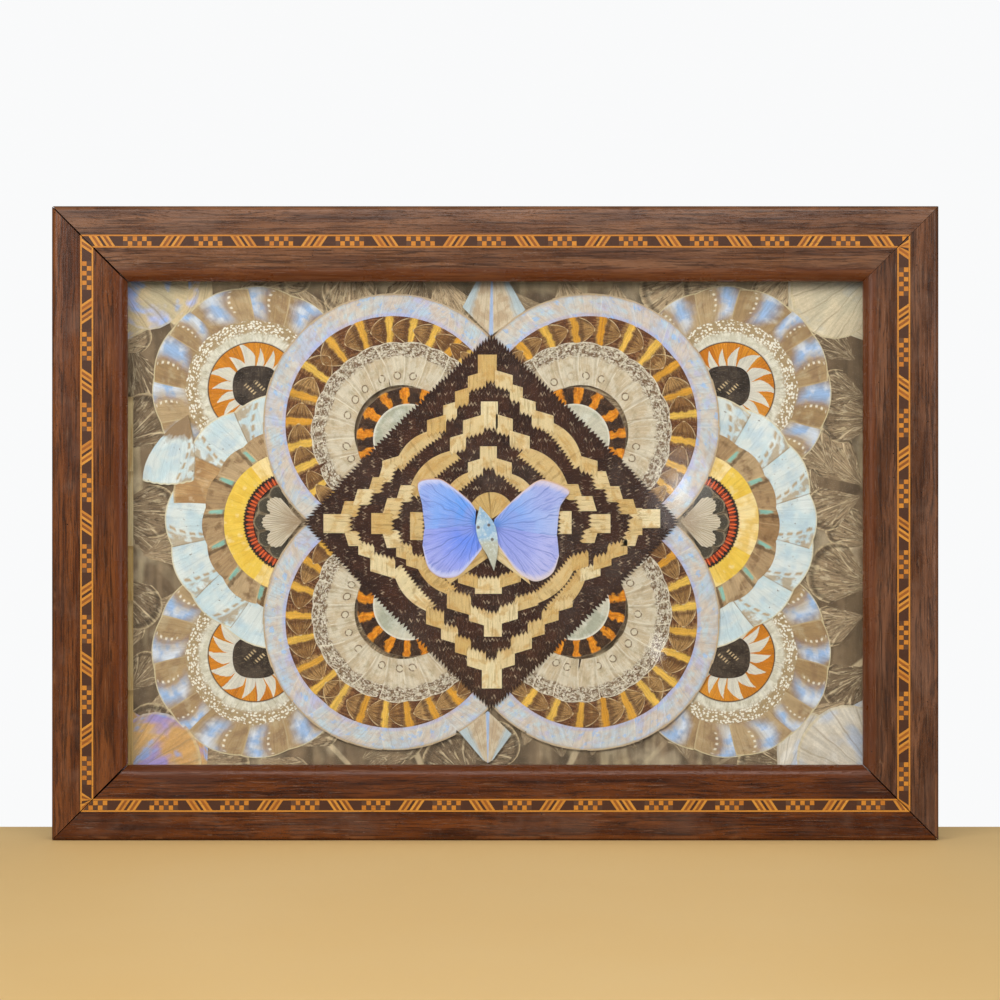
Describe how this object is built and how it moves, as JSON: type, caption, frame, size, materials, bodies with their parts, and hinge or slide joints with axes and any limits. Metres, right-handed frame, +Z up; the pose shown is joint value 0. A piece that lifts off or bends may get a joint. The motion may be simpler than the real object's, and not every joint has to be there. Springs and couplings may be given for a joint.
{
  "type": "framed butterfly wing picture",
  "caption": "Inlaid wooden frame with a glazed picture laid from butterfly wings in medallions round a diamond, with one blue butterfly at its middle.",
  "frame": {"origin": "middle of the bottom edge of the frame, midway through its depth", "axes": "+X to the right along the frame, +Y to the back, +Z up; the picture faces -Y"},
  "size_m": [0.52, 0.024, 0.372],
  "materials": {
    "frame_wood": "french polished hardwood, worn",
    "inlaid_banding": "polished marquetry of light and dark woods",
    "clear_glass": "clear, polished",
    "backing_wood": "bare thin board",
    "ground_wings": "matt, dry wing, streaked grey and brown",
    "pale_blue_wings": "silky, dry wing",
    "tawny_wings": "matt, dry wing with ochre bars",
    "mottled_wings": "matt, dry wing, speckled",
    "tiger_wings": "matt, dry wing, black and orange",
    "pearl_wings": "pearly, dry wing",
    "tan_wings": "matt, dry wing with pale blue patches",
    "yellow_wings": "matt, dry wing, yellow and red",
    "fan_wings": "matt, dry wing, ribbed",
    "speckled_wings": "matt, dry wing with cream beads",
    "dark_heart_wings": "matt, dry wing, dark with an orange border",
    "dark_wings": "velvety, dry wing",
    "cream_wings": "matt, dry wing",
    "blue_wings": "iridescent, silky dry wing"
  },
  "bodies": {
    "root": {"rail_bottom": "frame_wood", "banding_bottom": "inlaid_banding", "rail_right": "frame_wood", "banding_right": "inlaid_banding", "rail_top": "frame_wood", "banding_top": "inlaid_banding", "rail_left": "frame_wood", "banding_left": "inlaid_banding", "glass_pane": "clear_glass", "backing_board": "backing_wood", "wing_ground": "ground_wings", "top_left_pale_ring": "pale_blue_wings", "top_left_tawny_ring": "tawny_wings", "top_left_mottled_ring": "mottled_wings", "top_left_tiger_ring": "tiger_wings", "top_left_pearl_disc": "pearl_wings", "top_right_pale_ring": "pale_blue_wings", "top_right_tawny_ring": "tawny_wings", "top_right_mottled_ring": "mottled_wings", "top_right_tiger_ring": "tiger_wings", "top_right_pearl_disc": "pearl_wings", "bottom_left_pale_ring": "pale_blue_wings", "bottom_left_tawny_ring": "tawny_wings", "bottom_left_mottled_ring": "mottled_wings", "bottom_left_tiger_ring": "tiger_wings", "bottom_left_pearl_disc": "pearl_wings", "bottom_right_pale_ring": "pale_blue_wings", "bottom_right_tawny_ring": "tawny_wings", "bottom_right_mottled_ring": "mottled_wings", "bottom_right_tiger_ring": "tiger_wings", "bottom_right_pearl_disc": "pearl_wings", "side_left_pale_ring": "pale_blue_wings", "side_left_tan_ring": "tan_wings", "side_left_yellow_crescent": "yellow_wings", "side_left_ribbed_fan": "fan_wings", "side_right_pale_ring": "pale_blue_wings", "side_right_tan_ring": "tan_wings", "side_right_yellow_crescent": "yellow_wings", "side_right_ribbed_fan": "fan_wings", "corner_top_left_wing_ring": "tan_wings", "corner_top_left_speckled_ring": "speckled_wings", "corner_top_left_dark_heart": "dark_heart_wings", "corner_top_right_wing_ring": "tan_wings", "corner_top_right_speckled_ring": "speckled_wings", "corner_top_right_dark_heart": "dark_heart_wings", "corner_bottom_left_wing_ring": "tan_wings", "corner_bottom_left_speckled_ring": "speckled_wings", "corner_bottom_left_dark_heart": "dark_heart_wings", "corner_bottom_right_wing_ring": "tan_wings", "corner_bottom_right_speckled_ring": "speckled_wings", "corner_bottom_right_dark_heart": "dark_heart_wings", "diamond_sheet": "dark_wings", "cream_band_outer": "cream_wings", "cream_band_middle": "cream_wings", "cream_band_inner": "cream_wings", "butterfly_left_forewing": "blue_wings", "butterfly_left_hindwing": "blue_wings", "butterfly_right_forewing": "blue_wings", "butterfly_right_hindwing": "blue_wings", "butterfly_body": "pearl_wings"}
  },
  "joints": []
}
